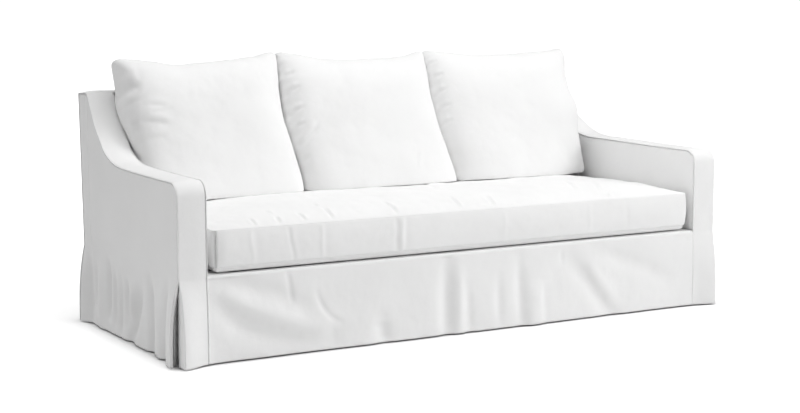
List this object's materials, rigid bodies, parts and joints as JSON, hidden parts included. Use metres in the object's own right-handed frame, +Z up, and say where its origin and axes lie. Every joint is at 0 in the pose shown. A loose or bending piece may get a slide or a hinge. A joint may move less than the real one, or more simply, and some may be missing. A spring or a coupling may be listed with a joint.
{
  "type": "fitted sofa slipcover with seat and back cushions",
  "caption": "Fitted hollow slipcover for a slope-arm sofa: flared skirt with kick pleats at the corners, boxed bench seat cushion and knife-edge back pillows.",
  "frame": {"origin": "middle of the footprint, at the hem's lowest edge, where the cover meets the floor", "axes": "+X along the sofa's length, towards the arm on the right as seen from the front; -Y is the front; +Z up"},
  "size_m": [2.352, 1.12, 0.9925],
  "materials": {
    "cover_cloth": "matt white cotton canvas",
    "cushion_cloth": "matt white cotton canvas, filled",
    "inner_cloth": "matt white cotton canvas, inner panels"
  },
  "bodies": {
    "root": {"outside_arm_L": "cover_cloth", "outside_arm_R": "cover_cloth", "arm_band_L": "cover_cloth", "arm_band_R": "cover_cloth", "inside_arm_L": "cover_cloth", "inside_arm_R": "cover_cloth", "inside_back": "cover_cloth", "back_top": "cover_cloth", "outside_back": "cover_cloth", "front_skirt": "cover_cloth", "deck": "inner_cloth", "pleat_front_L": "inner_cloth", "pleat_front_R": "inner_cloth", "pleat_back_L": "inner_cloth", "pleat_back_R": "inner_cloth", "seat_cushion": "cushion_cloth", "pillow_L": "cushion_cloth", "pillow_C": "cushion_cloth", "pillow_R": "cushion_cloth"}
  },
  "joints": []
}
